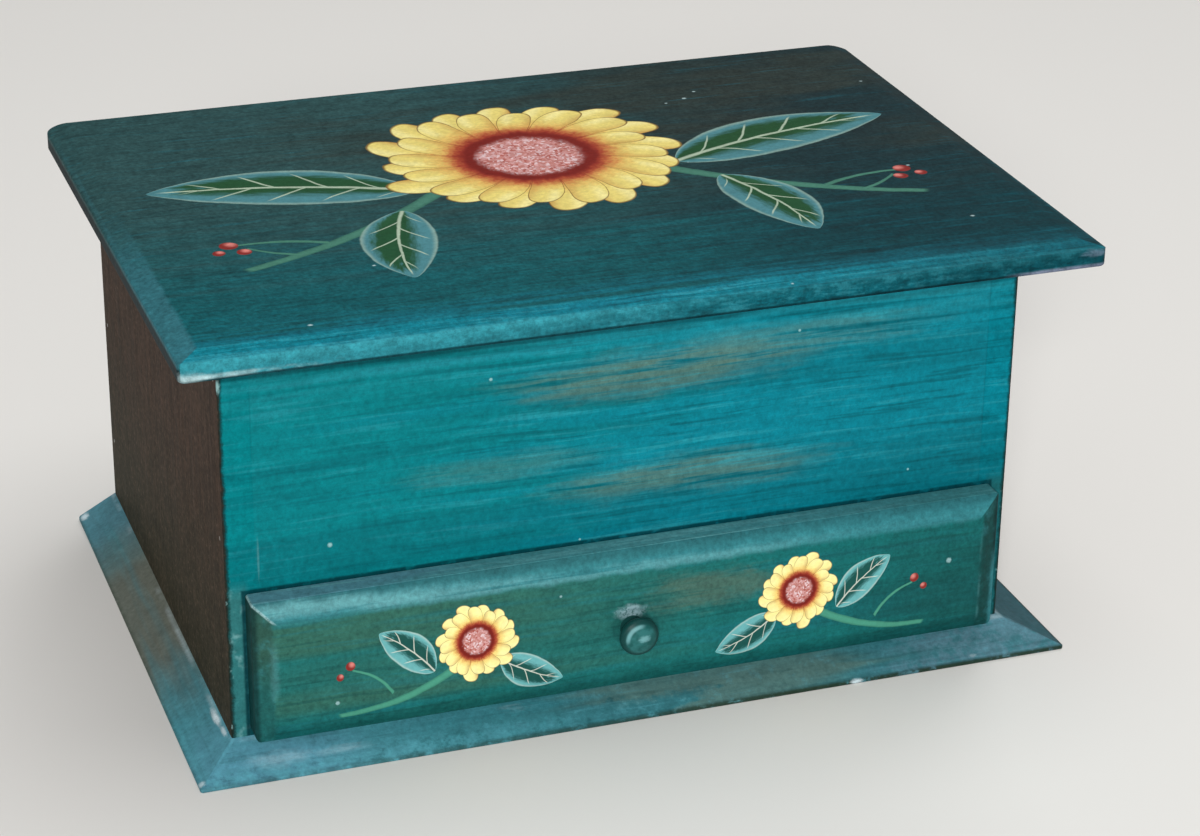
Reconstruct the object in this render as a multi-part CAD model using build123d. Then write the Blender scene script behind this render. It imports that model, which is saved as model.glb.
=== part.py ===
from build123d import *
import os

# A wooden keepsake box: a lidded compartment over one drawer, on a bevelled base board.
# Sizes are in millimetres. While it is drawn, X runs across the case from its middle, Y runs
# from the face of the front board to the back, and Z runs up from the surface it stands on.

# Case, with the front and back boards let in between the sides
case_width = 270.0
case_depth = 188.0
side_height = 138.0
side_thickness = 10.0
front_thickness = 10.0
back_thickness = 10.0
drawer_opening_height = 47.0
board_softening = 0.8

# Base board, whose bevel starts at the case and falls to a thin edge
base_thickness = 9.0
base_edge = 1.2
base_margin_left = 14.0
base_margin_right = 19.0
base_margin_front = 15.5
base_corner = 1.0
base_softening = 0.3

# Floor of the compartment, held in grooves all round
floor_thickness = 5.0
floor_groove_depth = 4.0
floor_groove_lip = 3.5
groove_slack = 0.1

# Lid board
lid_thickness = 8.0
lid_bevel = 7.5
lid_bevel_drop = 1.8
lid_overhang_side = 17.0
lid_overhang_front = 27.5
lid_gap = 0.2
lid_front_corner = 2.5
lid_back_corner = 5.0
lid_softening = 0.9
lid_crown = 8.0

# Drawer front, a raised panel that laps the case at its sides and top
drawer_front_thickness = 10.5
drawer_front_bevel = 6.5
drawer_front_bevel_drop = 2.6
drawer_front_low_corner = 2.8
drawer_front_high_corner = 1.2
drawer_front_softening = 0.7
drawer_front_crown = 11.0
drawer_front_gap = 0.2
drawer_front_lift = 1.4
drawer_lap_side = 4.0
drawer_lap_top = 4.5

# Drawer box
drawer_side_thickness = 6.5
drawer_back_thickness = 6.5
drawer_bottom_thickness = 3.0
drawer_bottom_rise = 4.0
drawer_dado_depth = 4.0
drawer_groove_depth = 3.0
drawer_side_gap = 0.8
drawer_top_gap = 2.2
drawer_back_gap = 6.0
drawer_lift = 0.3

# Turned knob: a coved stem, a rim that flares from it, and a low dome
knob_diameter = 13.2
knob_neck = 6.4
knob_foot = 8.0
knob_stem = 4.9
knob_flare = 1.3
knob_rim = 1.8
knob_dome = 2.5
knob_rim_softening = 1.4
knob_offset = -3.0
knob_rise = 23.7

# Butt hinges
hinge_length = 25.0
hinge_inset = 42.0
hinge_leaf_width = 8.0
hinge_leaf_thickness = 1.0
hinge_barrel = 3.8
hinge_stand_off = 0.3
hinge_knuckles = 5
hinge_knuckle_gap = 0.15
hinge_pin = 1.6
hinge_pin_gap = 0.05
hinge_pin_overrun = 0.4
mortise_fit = 0.1

# Screws and brads
hinge_screw_head = 4.0
hinge_screw_shank = 2.0
hinge_screw_end = 5.5
hinge_screw_cover = 1.6
base_screw_head = 6.0
base_screw_shank = 3.0
base_screw_grip = 16.0
base_screw_inset = 32.0
knob_screw_head = 5.6
knob_screw_shank = 2.6
knob_screw_cover = 4.0
screw_slot = 0.7
fastener_fit = 0.05
brad_diameter = 1.4
case_brad_grip = 14.0
case_brad_inset = 14.0
drawer_brad_grip = 9.0
drawer_brad_inset = 8.0
bottom_brads = 3

# Places worked out from the sizes
case_right = case_width / 2
case_top = base_thickness + side_height
inner_right = case_right - side_thickness
back_inside = case_depth - back_thickness
opening_top = base_thickness + drawer_opening_height
floor_low = opening_top + floor_groove_lip
floor_high = floor_low + floor_thickness
lid_low = case_top + lid_gap
hinge_axis_y = case_depth + hinge_stand_off + hinge_barrel / 2
hinge_axis_z = case_top + lid_gap / 2
drawer_low = base_thickness + drawer_lift
drawer_high = opening_top - drawer_top_gap
drawer_right = inner_right - drawer_side_gap
drawer_inside = drawer_right - drawer_side_thickness
drawer_rear = back_inside - drawer_back_gap
drawer_face_back = -drawer_front_gap
drawer_bottom_low = drawer_low + drawer_bottom_rise
drawer_bottom_high = drawer_bottom_low + drawer_bottom_thickness
knob_z = drawer_low + knob_rise
knob_projection = knob_stem + knob_flare + knob_rim + knob_dome


def block(x_low, x_high, y_low, y_high, z_low, z_high):
    """A square-edged block between two opposite corners."""
    size = (x_high - x_low, y_high - y_low, z_high - z_low)
    return Pos(x_low, y_low, z_low) * Box(*size, align=(Align.MIN, Align.MIN, Align.MIN))


def panel_section(low, high, thickness, drop, bevels, softening, crown):
    """Section across a panel from well below it: upright edges, then bevels to the full height."""
    low_bevel, high_bevel = bevels
    points = [(low, -thickness), (high, -thickness)]
    radii = [0, 0]
    if high_bevel:
        points += [(high, thickness - drop), (high - high_bevel, thickness)]
        radii += [softening, crown]
    else:
        points.append((high, thickness))
        radii.append(softening)
    if low_bevel:
        points += [(low + low_bevel, thickness), (low, thickness - drop)]
        radii += [crown, softening]
    else:
        points.append((low, thickness))
        radii.append(softening)
    return make_face(FilletPolyline(*points, radius=radii, close=True))


def bevelled_panel(x_span, y_span, thickness, drop, x_bevels, y_bevels, softening, crown, corners):
    """A panel with mitred bevels: what its two sections and its plan share, rubbed underneath."""
    width = x_span[1] - x_span[0]
    depth = y_span[1] - y_span[0]
    across = panel_section(*x_span, thickness, drop, x_bevels, softening, crown)
    along = panel_section(*y_span, thickness, drop, y_bevels, softening, crown)
    plan = Rectangle(width, depth)
    plan = fillet(plan.vertices().group_by(Axis.Y)[0], corners[0])
    plan = fillet(plan.vertices().group_by(Axis.Y)[-1], corners[1])
    plan = Pos(sum(x_span) / 2, sum(y_span) / 2) * plan
    reach = width + depth
    lengthwise = extrude(Plane.XZ * across, reach, both=True)
    crosswise = extrude(Plane.YZ * along, reach, both=True)
    panel = extrude(plan, thickness) & lengthwise & crosswise
    return fillet(panel.faces().sort_by(Axis.Z)[0].edges(), softening)


def countersunk(head, shank, length, *end):
    """A countersunk shank, head up at z = 0, that ends as the points of its outline say."""
    head_depth = (head - shank) / 2
    top = [(0, 0), (head / 2, 0), (shank / 2, -head_depth)]
    return revolve(Plane.XZ * make_face(Polyline(*top, *end, (0, -length), close=True)), Axis.Z)


def wood_screw(head, shank, length):
    """A countersunk wood screw, point down, with its driver slot."""
    screw = countersunk(head, shank, length, (shank / 2, shank - length))
    return screw - block(-head, head, -screw_slot / 2, screw_slot / 2, -head / 6, head)


def screw_hole(head, shank, length):
    """The hole for such a screw, eased all round and flat at its end."""
    ease = 2 * fastener_fit
    depth = length + fastener_fit
    return countersunk(head + ease, shank + ease, depth, (shank / 2 + fastener_fit, -depth))


def brad(length, ease=0.0):
    """A headless brad, driven down from z = 0. Its hole is eased all round."""
    top_middle = (Align.CENTER, Align.CENTER, Align.MAX)
    return Cylinder(brad_diameter / 2 + ease, length + ease, align=top_middle)


def pierce(piece, tool, places):
    """The piece with the tool cut out of it at each place."""
    for place in places:
        piece -= place * tool
    return piece


def group(tool, places):
    """One solid like the tool at each place."""
    return Compound([(place * tool).solid() for place in places])


# Fasteners. Each place turns the point, which faces down, along the way it is driven.
drive_left = Rot(0, 90, 0)
drive_right = Rot(0, -90, 0)
drive_up = Rot(180, 0, 0)
drive_forward = Rot(-90, 0, 0)

hinge_x = (hinge_inset - case_right, case_right - hinge_inset)
hinge_screw_reach = hinge_length / 2 - hinge_screw_end
hinge_screw_x = [x + side * hinge_screw_reach for x in hinge_x for side in (-1, 1)]
hinge_screw_y = case_depth - hinge_leaf_width / 2
hinge_screw = (hinge_screw_head, hinge_screw_shank, lid_thickness - hinge_screw_cover)
case_leaf_screw_places = [Pos(x, hinge_screw_y, case_top) for x in hinge_screw_x]
lid_leaf_screw_places = [Pos(x, hinge_screw_y, lid_low) * drive_up for x in hinge_screw_x]

side_middle = case_right - side_thickness / 2
back_middle = case_depth - back_thickness / 2
back_screw_x = inner_right - base_screw_inset
base_screw = (base_screw_head, base_screw_shank, base_thickness + base_screw_grip)
base_screw_points = [
    (side * side_middle, y) for side in (-1, 1) for y in (base_screw_inset, case_depth - base_screw_inset)
]
base_screw_points += [(side * back_screw_x, back_middle) for side in (-1, 1)]
base_screw_places = [Pos(x, y, 0) * drive_up for x, y in base_screw_points]

upper_brads = (floor_high + case_brad_inset, case_top - case_brad_inset)
case_brad_points = [(front_thickness / 2, z) for z in upper_brads]
case_brad_points += [(back_middle, z) for z in upper_brads]
case_brad_points.append((back_middle, base_thickness + drawer_opening_height / 2))
case_brad_places = [Pos(case_right, y, z) * drive_left for y, z in case_brad_points]
case_brad_places += [Pos(-case_right, y, z) * drive_right for y, z in case_brad_points]
case_brad_length = side_thickness + case_brad_grip

drawer_back_middle = drawer_rear - drawer_back_thickness / 2
drawer_brad_z = (drawer_bottom_high + drawer_brad_inset, drawer_high - drawer_brad_inset)
drawer_side_brads = [Pos(drawer_right, drawer_back_middle, z) * drive_left for z in drawer_brad_z]
drawer_side_brads += [Pos(-drawer_right, drawer_back_middle, z) * drive_right for z in drawer_brad_z]
drawer_side_brad_length = drawer_side_thickness + drawer_brad_grip

bottom_brad_reach = drawer_inside - drawer_brad_grip - drawer_brad_inset
bottom_brad_step = 2 * bottom_brad_reach / (bottom_brads - 1)
bottom_brad_x = [i * bottom_brad_step - bottom_brad_reach for i in range(bottom_brads)]
drawer_bottom_brads = [
    Pos(x, drawer_back_middle, drawer_bottom_low) * drive_up for x in bottom_brad_x
]
drawer_bottom_brad_length = drawer_bottom_thickness + drawer_brad_grip

knob_screw = (
    knob_screw_head,
    knob_screw_shank,
    drawer_front_thickness + knob_projection - knob_screw_cover,
)
knob_screw_place = Pos(knob_offset, drawer_face_back, knob_z) * drive_forward

case_brad_hole = brad(case_brad_length, fastener_fit)
drawer_side_brad_hole = brad(drawer_side_brad_length, fastener_fit)
drawer_bottom_brad_hole = brad(drawer_bottom_brad_length, fastener_fit)
hinge_screw_hole = screw_hole(*hinge_screw)
base_screw_hole = screw_hole(*base_screw)
knob_screw_hole = knob_screw_place * screw_hole(*knob_screw)

# The floor of the compartment, and the groove that the case boards hold it by
floor_reach_x = inner_right + floor_groove_depth
floor_front = front_thickness - floor_groove_depth
floor_back = back_inside + floor_groove_depth
floor_groove = block(
    -floor_reach_x,
    floor_reach_x,
    floor_front,
    floor_back,
    floor_low - groove_slack,
    floor_high + groove_slack,
)
compartment_floor = block(
    groove_slack - floor_reach_x,
    floor_reach_x - groove_slack,
    floor_front + groove_slack,
    floor_back - groove_slack,
    floor_low,
    floor_high,
)

# Mortises for the hinge leaves, open at the back
mortise = block(
    -hinge_length / 2 - mortise_fit,
    hinge_length / 2 + mortise_fit,
    case_depth - hinge_leaf_width - mortise_fit,
    case_depth + hinge_barrel,
    -hinge_leaf_thickness,
    hinge_leaf_thickness,
)


def make_base_board():
    """The base board, bored and countersunk from below for its screws."""
    panel = bevelled_panel(
        (-case_right - base_margin_left, case_right + base_margin_right),
        (-base_margin_front, case_depth),
        base_thickness,
        base_thickness - base_edge,
        (base_margin_left, base_margin_right),
        (base_margin_front, 0),
        base_softening,
        0,
        (base_corner, base_corner),
    )
    return pierce(panel, base_screw_hole, base_screw_places)


def make_side_board():
    """The right side board: outer corners rubbed round, grooved for the floor."""
    side = block(inner_right, case_right, 0, case_depth, base_thickness, case_top)
    outer_corners = side.edges().filter_by(Axis.Z).group_by(Axis.X)[-1]
    side = fillet(outer_corners, board_softening) - floor_groove
    side = pierce(side, base_screw_hole, base_screw_places)
    return pierce(side, case_brad_hole, case_brad_places)


def make_front_board():
    """The front board: closes the compartment and ends above the drawer."""
    front = block(-inner_right, inner_right, 0, front_thickness, opening_top, case_top)
    return pierce(front - floor_groove, case_brad_hole, case_brad_places)


def make_back_board():
    """The back board: full height, with a mortise for each hinge in its top edge."""
    back = block(-inner_right, inner_right, back_inside, case_depth, base_thickness, case_top)
    back = pierce(back - floor_groove, mortise, [Pos(x, 0, case_top) for x in hinge_x])
    back = pierce(back, case_brad_hole, case_brad_places)
    back = pierce(back, base_screw_hole, base_screw_places)
    return pierce(back, hinge_screw_hole, case_leaf_screw_places)


def make_lid_board():
    """The lid board, flush with the case at the back, with the hinge mortises in its underside."""
    panel = bevelled_panel(
        (-case_right - lid_overhang_side, case_right + lid_overhang_side),
        (-lid_overhang_front, case_depth),
        lid_thickness,
        lid_bevel_drop,
        (lid_bevel, lid_bevel),
        (lid_bevel, 0),
        lid_softening,
        lid_crown,
        (lid_front_corner, lid_back_corner),
    )
    panel = pierce(Pos(0, 0, lid_low) * panel, mortise, [Pos(x, 0, lid_low) for x in hinge_x])
    return pierce(panel, hinge_screw_hole, lid_leaf_screw_places)


def make_hinge_leaf(first_knuckle, leaf_low):
    """A hinge leaf about x = 0: a plate, and every second knuckle rolled round the pin's bore."""
    half = hinge_length / 2
    leaf_high = leaf_low + hinge_leaf_thickness
    plate_front = case_depth - hinge_leaf_width
    leaf = block(-half, half, plate_front, case_depth, leaf_low, leaf_high)
    pitch = hinge_length / hinge_knuckles
    axis = Pos(0, hinge_axis_y, hinge_axis_z) * Rot(0, 90, 0)
    for i in range(first_knuckle, hinge_knuckles, 2):
        low = i * pitch - half + hinge_knuckle_gap / 2
        high = (i + 1) * pitch - half - hinge_knuckle_gap / 2
        neck = block(low, high, case_depth, hinge_axis_y, leaf_low, leaf_high)
        barrel = Cylinder(hinge_barrel / 2, high - low)
        leaf += neck + Pos((low + high) / 2, 0, 0) * axis * barrel
    return leaf - axis * Cylinder(hinge_pin / 2 + hinge_pin_gap, 2 * hinge_length)


def make_hinge_pin():
    """The pin about x = 0, with eased ends that stand a little proud of the barrel."""
    pin = Cylinder(hinge_pin / 2, hinge_length + 2 * hinge_pin_overrun)
    pin = chamfer(pin.edges().filter_by(GeomType.CIRCLE), hinge_pin_overrun / 2)
    return Pos(0, hinge_axis_y, hinge_axis_z) * Rot(0, 90, 0) * pin


def make_drawer_front():
    """The drawer front: bevelled on all four edges, with stopped dados and a groove behind."""
    half = inner_right + drawer_lap_side
    panel = bevelled_panel(
        (-half, half),
        (base_thickness + drawer_front_lift, opening_top + drawer_lap_top),
        drawer_front_thickness,
        drawer_front_bevel_drop,
        (drawer_front_bevel, drawer_front_bevel),
        (drawer_front_bevel, drawer_front_bevel),
        drawer_front_softening,
        drawer_front_crown,
        (drawer_front_low_corner, drawer_front_high_corner),
    )
    front = Pos(0, drawer_face_back, 0) * Rot(90, 0, 0) * panel
    dado = block(
        drawer_inside,
        drawer_right,
        drawer_face_back - drawer_dado_depth,
        drawer_face_back,
        0,
        drawer_high,
    )
    groove = block(
        -drawer_inside,
        drawer_inside,
        drawer_face_back - drawer_groove_depth,
        drawer_face_back,
        drawer_bottom_low - groove_slack,
        drawer_bottom_high + groove_slack,
    )
    return front - dado - mirror(dado, Plane.YZ) - groove - knob_screw_hole


def make_drawer_side():
    """The drawer's right side: let into the front, grooved for the bottom."""
    side = block(
        drawer_inside,
        drawer_right,
        drawer_face_back - drawer_dado_depth,
        drawer_rear,
        drawer_low,
        drawer_high,
    )
    top_edges = side.edges().filter_by(Axis.Y).group_by(Axis.Z)[-1]
    side = fillet(top_edges, board_softening)
    groove = block(
        drawer_inside,
        drawer_inside + drawer_groove_depth,
        drawer_face_back - drawer_dado_depth,
        drawer_rear,
        drawer_bottom_low - groove_slack,
        drawer_bottom_high + groove_slack,
    )
    return pierce(side - groove, drawer_side_brad_hole, drawer_side_brads)


def make_drawer_back():
    """The drawer's back: between the sides, standing on the bottom."""
    back = block(
        -drawer_inside,
        drawer_inside,
        drawer_rear - drawer_back_thickness,
        drawer_rear,
        drawer_bottom_high,
        drawer_high,
    )
    back = pierce(back, drawer_side_brad_hole, drawer_side_brads)
    return pierce(back, drawer_bottom_brad_hole, drawer_bottom_brads)


def make_drawer_bottom():
    """The drawer's bottom: slid in from behind, along the grooves and under the back."""
    reach = drawer_inside + drawer_groove_depth - groove_slack
    front_end = drawer_face_back - drawer_groove_depth + groove_slack
    bottom = block(-reach, reach, front_end, drawer_rear, drawer_bottom_low, drawer_bottom_high)
    return pierce(bottom, drawer_bottom_brad_hole, drawer_bottom_brads)


def make_knob():
    """The turned knob: a coved stem under a low mushroom head, bored for its screw."""
    foot = knob_foot / 2
    edge = knob_diameter / 2
    rim_low = knob_stem + knob_flare
    rim_high = rim_low + knob_rim
    dome_radius = (edge**2 + knob_dome**2) / (2 * knob_dome)
    stem = ThreePointArc((foot, 0), (knob_neck / 2, knob_stem / 2), (foot, knob_stem))
    head = Polyline((foot, knob_stem), (edge, rim_low), (edge, rim_high))
    dome = RadiusArc((edge, rim_high), (0, knob_projection), -dome_radius)
    middle = Polyline((0, knob_projection), (0, 0), (foot, 0))
    section = make_face([stem, *head.edges(), dome, *middle.edges()])
    section = fillet(section.vertices().group_by(Axis.X)[-1], knob_rim_softening)
    knob = revolve(Plane.XZ * section, Axis.Z)
    seat_y = drawer_face_back - drawer_front_thickness
    return Pos(knob_offset, seat_y, knob_z) * Rot(90, 0, 0) * knob - knob_screw_hole


side_board = make_side_board()
drawer_side = make_drawer_side()
case_leaf = pierce(
    make_hinge_leaf(0, case_top - hinge_leaf_thickness),
    hinge_screw_hole,
    [Pos(side * hinge_screw_reach, hinge_screw_y, case_top) for side in (-1, 1)],
)
lid_leaf = pierce(
    make_hinge_leaf(1, lid_low),
    hinge_screw_hole,
    [Pos(side * hinge_screw_reach, hinge_screw_y, lid_low) * drive_up for side in (-1, 1)],
)
hinge_pin_solid = make_hinge_pin()
drawer_brads = Compound(
    group(brad(drawer_side_brad_length), drawer_side_brads).solids()
    + group(brad(drawer_bottom_brad_length), drawer_bottom_brads).solids()
)

pieces = {
    "base_board": make_base_board(),
    "left_side_board": mirror(side_board, Plane.YZ),
    "right_side_board": side_board,
    "front_board": make_front_board(),
    "back_board": make_back_board(),
    "compartment_floor": compartment_floor,
    "lid_board": make_lid_board(),
    "case_leaf_screws": group(wood_screw(*hinge_screw), case_leaf_screw_places),
    "lid_leaf_screws": group(wood_screw(*hinge_screw), lid_leaf_screw_places),
    "base_screws": group(wood_screw(*base_screw), base_screw_places),
    "case_brads": group(brad(case_brad_length), case_brad_places),
    "drawer_front": make_drawer_front(),
    "drawer_left_side": mirror(drawer_side, Plane.YZ),
    "drawer_right_side": drawer_side,
    "drawer_back": make_drawer_back(),
    "drawer_bottom": make_drawer_bottom(),
    "drawer_brads": drawer_brads,
    "drawer_knob": make_knob(),
    "knob_screw": knob_screw_place * wood_screw(*knob_screw),
}
for hand, x in zip(("left", "right"), hinge_x):
    pieces[f"{hand}_hinge_case_leaf"] = Pos(x, 0, 0) * case_leaf
    pieces[f"{hand}_hinge_lid_leaf"] = Pos(x, 0, 0) * lid_leaf
    pieces[f"{hand}_hinge_pin"] = Pos(x, 0, 0) * hinge_pin_solid

# The part's origin is the middle of the base board's underside.
to_part_frame = Pos(
    (base_margin_left - base_margin_right) / 2,
    (base_margin_front - case_depth) / 2,
    0,
)

os.makedirs("parts", exist_ok=True)
for name, piece in pieces.items():
    export_step(to_part_frame * piece, f"parts/{name}.step")
    print(name, round(piece.volume, 1))
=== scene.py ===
import math
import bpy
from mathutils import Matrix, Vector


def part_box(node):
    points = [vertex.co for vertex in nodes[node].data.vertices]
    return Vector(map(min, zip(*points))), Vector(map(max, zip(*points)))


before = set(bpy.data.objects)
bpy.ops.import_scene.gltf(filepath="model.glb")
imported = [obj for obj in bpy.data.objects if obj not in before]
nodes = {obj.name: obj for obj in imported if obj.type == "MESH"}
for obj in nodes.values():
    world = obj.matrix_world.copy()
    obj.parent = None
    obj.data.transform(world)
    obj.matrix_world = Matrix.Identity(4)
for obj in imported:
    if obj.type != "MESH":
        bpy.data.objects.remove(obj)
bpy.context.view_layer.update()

from types import SimpleNamespace

import bpy
import numpy as np
from mathutils import Matrix, Vector

mm = 0.001


# Shader helpers, used by every material

def paint(red, green, blue):
    # a screen colour, 0 to 255, as linear light: the sRGB curve undone
    values = np.array((red, green, blue)) / 255
    linear = np.where(values <= 0.04045, values / 12.92, ((values + 0.055) / 1.055) ** 2.4)
    return (*linear.tolist(), 1.0)


def treeOf(*values):  # the node tree of the first socket among some values
    return next(value.id_data for value in values if isinstance(value, bpy.types.NodeSocket))


def put(tree, kind, **settings):
    node = tree.nodes.new(kind)
    for key, value in settings.items():
        setattr(node, key, value)
    return node


def feed(socket, value):  # joins another node's socket, or sets a plain value
    if isinstance(value, bpy.types.NodeSocket):
        socket.id_data.links.new(value, socket)
    else:
        socket.default_value = value


def feedAll(node, *values, **named):  # the inputs in their order, or by their labels
    for socket, value in zip(node.inputs, values):
        feed(socket, value)
    for label, value in named.items():
        feed(node.inputs[label], value)
    return node.outputs


def calc(operation, *values):
    return feedAll(put(treeOf(*values), "ShaderNodeMath", operation=operation), *values)[0]


def plus(first, second):
    return calc("ADD", first, second)


def minus(first, second):
    return calc("SUBTRACT", first, second)


def larger(first, second):
    return calc("MAXIMUM", first, second)


def size(value):
    return calc("ABSOLUTE", value)


def ramp(value, slope, start):  # slope times value, plus start
    return calc("MULTIPLY_ADD", value, slope, start)


def opposite(share):
    return minus(1.0, share)


def times(*values):
    result = values[0]
    for value in values[1:]:
        result = calc("MULTIPLY", result, value)
    return result


def swing(value, reach):  # a noise about 0.5 as a shift: (value - 0.5) reach
    return times(minus(value, 0.5), reach)


def calcVector(operation, *values):
    outputs = feedAll(put(treeOf(*values), "ShaderNodeVectorMath", operation=operation), *values)
    return outputs[1 if operation in ("LENGTH", "DISTANCE") else 0]


def enlarged(vector, factor):
    node = put(treeOf(vector), "ShaderNodeVectorMath", operation="SCALE")
    return feedAll(node, vector, Scale=factor)[0]


def stretched(place, stretch):
    return calcVector("MULTIPLY", place, stretch)


def axes(vector):
    return list(feedAll(put(treeOf(vector), "ShaderNodeSeparateXYZ"), vector))


def fade(value, start, end):  # 0 at start, 1 at end, smooth between, either way round
    node = put(treeOf(value), "ShaderNodeMapRange", interpolation_type="SMOOTHSTEP")
    return feedAll(node, value, start, end)["Result"]


def between(value, start, end):  # a fade from one distance to another, both in mm
    return fade(value, start * mm, end * mm)


def noise(place, scale=1.0, detail=2.0, roughness=0.5):
    node = put(treeOf(place), "ShaderNodeTexNoise")
    return feedAll(node, Vector=place, Scale=scale, Detail=detail, Roughness=roughness)[0]


def waver(place, scale):  # three noises as a vector about nought
    outputs = feedAll(put(treeOf(place), "ShaderNodeTexNoise"), Vector=place, Scale=scale)
    return calcVector("SUBTRACT", outputs["Color"], (0.5, 0.5, 0.5))


def cells(place, scale):  # a scattered pattern: the distance to a middle, and 3 random numbers
    outputs = feedAll(put(treeOf(place), "ShaderNodeTexVoronoi"), Vector=place, Scale=scale)
    return outputs["Distance"], axes(outputs["Color"])


def mixColour(share, under, over):
    node = put(treeOf(share), "ShaderNodeMix", data_type="RGBA")
    for socket, value in zip((node.inputs[0], node.inputs[6], node.inputs[7]), (share, under, over)):
        feed(socket, value)
    return node.outputs[2]


def lay(colour, over, *shares):  # a coat over a colour, as strong as the product of its shares
    return mixColour(times(*shares), colour, over)


def vary(colour, value, amount):  # the colour times 1 + amount (2 value - 1)
    return enlarged(colour, ramp(value, 2 * amount, 1 - amount))


def makeGroup(name, inputs, outputs):
    tree = bpy.data.node_groups.new(name, "ShaderNodeTree")
    for side, sockets in (("INPUT", inputs), ("OUTPUT", outputs)):
        for label, kind in sockets.items():
            tree.interface.new_socket(name=label, in_out=side, socket_type="NodeSocket" + kind)
    return tree, put(tree, "NodeGroupInput").outputs, put(tree, "NodeGroupOutput").inputs


def useGroup(group, *values):
    return feedAll(put(treeOf(*values), "ShaderNodeGroup", node_tree=group), *values)


def makeBristleMarks():
    # brush marks: noise drawn out along the stroke at three widths, over a place that wavers by
    # 3 mm; Grain and Cloud are plain noise, for the mottling of old paint
    tree, start, end = makeGroup(
        "bristleMarks",
        {"Place": "Vector", "Stretch": "Vector", "Seed": "Float"},
        {"Fine": "Float", "Middle": "Float", "Broad": "Float", "Grain": "Float", "Cloud": "Float"},
    )
    shift = stretched(waver(start["Place"], 14.0), (3 * mm, 3 * mm, 3 * mm))
    drawn = calcVector("ADD", start["Place"], shift)
    drawn = stretched(drawn, start["Stretch"])
    drawn = calcVector("ADD", drawn, start["Seed"])
    feed(end["Fine"], noise(drawn, 1.0, 3.0, 0.6))
    feed(end["Middle"], noise(drawn, 0.31, 2.0, 0.55))
    feed(end["Broad"], noise(drawn, 0.09, 2.5, 0.5))
    feed(end["Grain"], noise(start["Place"], 620.0, 3.0, 0.75))
    feed(end["Cloud"], noise(start["Place"], 150.0, 3.0, 0.6))
    return tree


def makePanelInset():
    # how far a point lies inside the nearest side of a box: the least of its six distances
    tree, start, end = makeGroup(
        "panelInset",
        {"Place": "Vector", "Low": "Vector", "High": "Vector"},
        {"Inset": "Float"},
    )
    fromLow = calcVector("SUBTRACT", start["Place"], start["Low"])
    fromHigh = calcVector("SUBTRACT", start["High"], start["Place"])
    least = axes(calcVector("MINIMUM", fromLow, fromHigh))
    feed(end["Inset"], calc("MINIMUM", calc("MINIMUM", least[0], least[1]), least[2]))
    return tree


def makeBrokenLine():
    # a thin line where a distance is near nought, as wide as a ragged noise times its width, and
    # broken where a slow noise is below its gaps
    tree, start, end = makeGroup(
        "brokenLine",
        {"Distance": "Float", "Width": "Float", "Place": "Vector", "Gaps": "Float"},
        {"Mask": "Float"},
    )
    ragged = noise(start["Place"], 900.0, 2.0, 0.6)
    width = times(start["Width"], plus(0.45, ragged))
    near = opposite(fade(size(start["Distance"]), 0.0, width))
    slow = noise(start["Place"], 42.0, 3.0, 0.6)
    unbroken = fade(slow, start["Gaps"], plus(start["Gaps"], 0.16))
    feed(end["Mask"], times(near, unbroken))
    return tree


def makePaleSpecks():
    # rare dots: the middle of a few cells of a scattered pattern
    tree, start, end = makeGroup(
        "paleSpecks",
        {"Place": "Vector", "Scale": "Float", "Share": "Float", "Size": "Float"},
        {"Mask": "Float"},
    )
    far, pick = cells(start["Place"], start["Scale"])
    chosen = calc("LESS_THAN", pick[0], start["Share"])
    reach = times(start["Size"], plus(0.4, pick[1]))
    dot = opposite(fade(far, times(reach, 0.6), reach))
    feed(end["Mask"], times(chosen, dot))
    return tree


def makePlankGrain():
    # growth rings cut lengthwise: the sine of a line across the board that a slow noise bends,
    # and fine pores
    tree, start, end = makeGroup(
        "plankGrain",
        {"Place": "Vector", "Stretch": "Vector", "Rings": "Float"},
        {"Rings": "Float", "Pores": "Float"},
    )
    drawn = stretched(start["Place"], start["Stretch"])
    bend = noise(drawn, 0.1, 3.0, 0.5)
    across = axes(drawn)
    line = plus(plus(across[0], across[1]), across[2])
    phase = plus(times(line, start["Rings"]), times(bend, 30.0))
    feed(end["Rings"], ramp(calc("SINE", phase), 0.5, 0.5))
    feed(end["Pores"], noise(drawn, 6.0, 3.0, 0.6))
    return tree


flowerColours = dict(
    root=paint(140, 48, 36),
    throat=paint(204, 118, 70),
    light=paint(244, 236, 170),
    shade=paint(176, 112, 52),
    outline=paint(92, 54, 26),
    glow=paint(150, 52, 40),
    heart=paint(186, 122, 114),
    heartLight=paint(206, 154, 152),
    heartPale=paint(220, 192, 194),
    heartDark=paint(170, 92, 84),
    heartRim=paint(118, 34, 28),
)


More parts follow.
